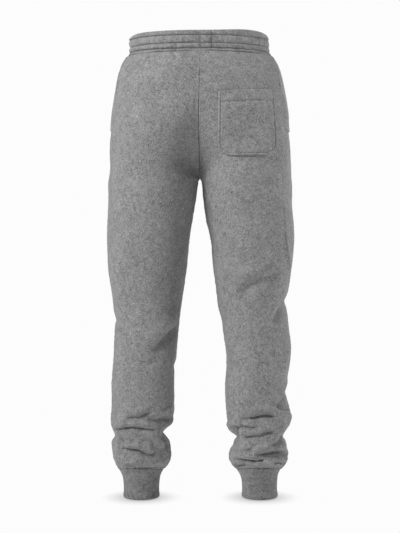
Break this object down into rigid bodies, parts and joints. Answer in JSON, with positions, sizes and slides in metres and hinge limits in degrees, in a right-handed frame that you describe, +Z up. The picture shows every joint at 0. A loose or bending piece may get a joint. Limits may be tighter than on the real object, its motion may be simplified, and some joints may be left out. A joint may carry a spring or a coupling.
{
  "type": "jogger sweatpants",
  "caption": "Fleece jogger sweatpants, filled out, with an elastic waistband, ribbed ankle cuffs, side pockets and a patch pocket at the back.",
  "frame": {"origin": "middle of the waist, halfway up the waistband", "axes": "+Z up, the front faces -Y, the wearer's left is +X"},
  "size_m": [0.4015, 0.2359, 0.9918],
  "materials": {
    "fleece": "brushed heather-grey fleece, matt",
    "rib": "heather-grey rib knit, matt"
  },
  "bodies": {
    "root": {"back_left": "fleece", "back_right": "fleece", "front_left": "fleece", "front_right": "fleece", "waistband": "fleece", "back_pocket": "fleece", "pocket_mouth_left": "fleece", "pocket_mouth_right": "fleece", "cuff_left": "rib", "cuff_right": "rib"}
  },
  "joints": []
}
